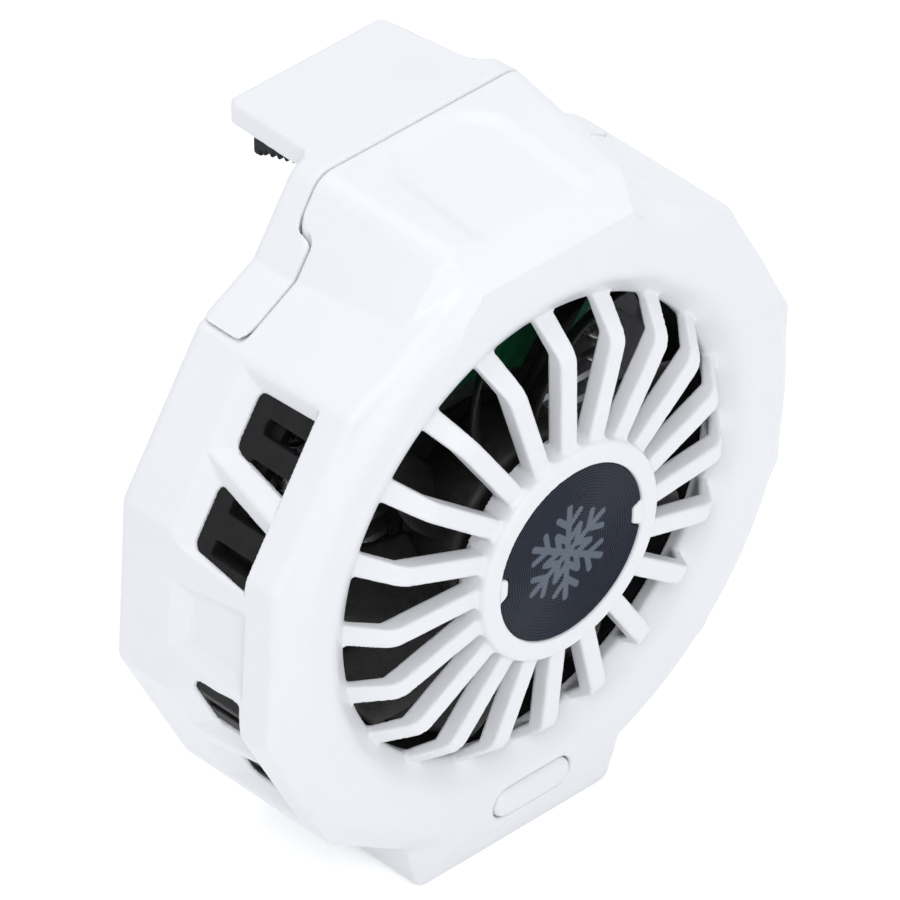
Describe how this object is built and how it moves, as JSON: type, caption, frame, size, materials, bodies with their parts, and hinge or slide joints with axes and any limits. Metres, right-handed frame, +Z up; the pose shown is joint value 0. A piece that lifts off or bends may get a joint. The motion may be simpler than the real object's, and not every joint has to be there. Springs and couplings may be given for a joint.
{
  "type": "phone cooling fan",
  "caption": "White clip-on phone cooler: a twelve-sided fan body with a spoked grille, a spring-loaded clamp for the phone, a cold plate at the back and a power socket below.",
  "frame": {"origin": "middle of the contact pad's face that touches the phone", "axes": "+Y into the phone, so the grille looks towards -Y; +Z up, along the way the sliding jaw opens; +X to the right seen from the front"},
  "size_m": [0.0694, 0.0382, 0.0761],
  "materials": {
    "shell": "satin white moulding",
    "disc": "fine turned grooves",
    "rubber": "matt",
    "heat_pad": "matt",
    "aluminium": "satin",
    "ceramic": "matt",
    "pellet": "dull",
    "steel": "plain",
    "iron": "plain",
    "black_plastic": "fine grain",
    "red_plastic": "plain",
    "bronze": "plain",
    "copper": "enamelled wire",
    "board": "green solder mask"
  },
  "bodies": {
    "housing": {"main_housing": "shell", "front_cover": "shell", "hub_disc": "disc", "back_cover": "shell", "lower_pad": "rubber", "contact_pad": "heat_pad", "cold_plate": "aluminium", "cold_ceramic": "ceramic", "thermo_legs": "pellet", "hot_ceramic": "ceramic", "heat_sink": "aluminium", "sink_screws": "steel", "fan_frame": "black_plastic", "bearing_sleeve": "bronze", "stator_core": "iron", "stator_coils": "copper", "motor_board": "board", "control_board": "board", "board_chips": "black_plastic", "port_board": "board", "port_shell": "steel", "port_tongue": "black_plastic", "switch_body": "black_plastic", "guide_rods": "steel", "clamp_springs": "steel", "front_screws": "steel", "back_screws": "steel"},
    "jaw": {"sliding_jaw": "shell", "upper_pad": "rubber"},
    "rotor": {"fan_rotor": "black_plastic", "magnet_ring": "iron", "rotor_shaft": "steel"},
    "button": {"power_button": "shell", "switch_plunger": "red_plastic"}
  },
  "joints": [
    {"name": "jaw_slide", "type": "slide", "parent": "housing", "child": "jaw", "axis": [0, 0, 1], "range_m": [0, 0.021], "stiffness_N_per_m": 200, "springref_m": -0.015, "deforming": ["clamp_springs"]},
    {"name": "fan_spin", "type": "hinge", "parent": "housing", "child": "rotor", "pos_m": [0, -0.018, 0], "axis": [0, 1, 0], "continuous": true},
    {"name": "button_press", "type": "slide", "parent": "housing", "child": "button", "axis": [0, 1, 0], "range_m": [0, 0.0004], "stiffness_N_per_m": 1500, "springref_m": -0.0006}
  ]
}
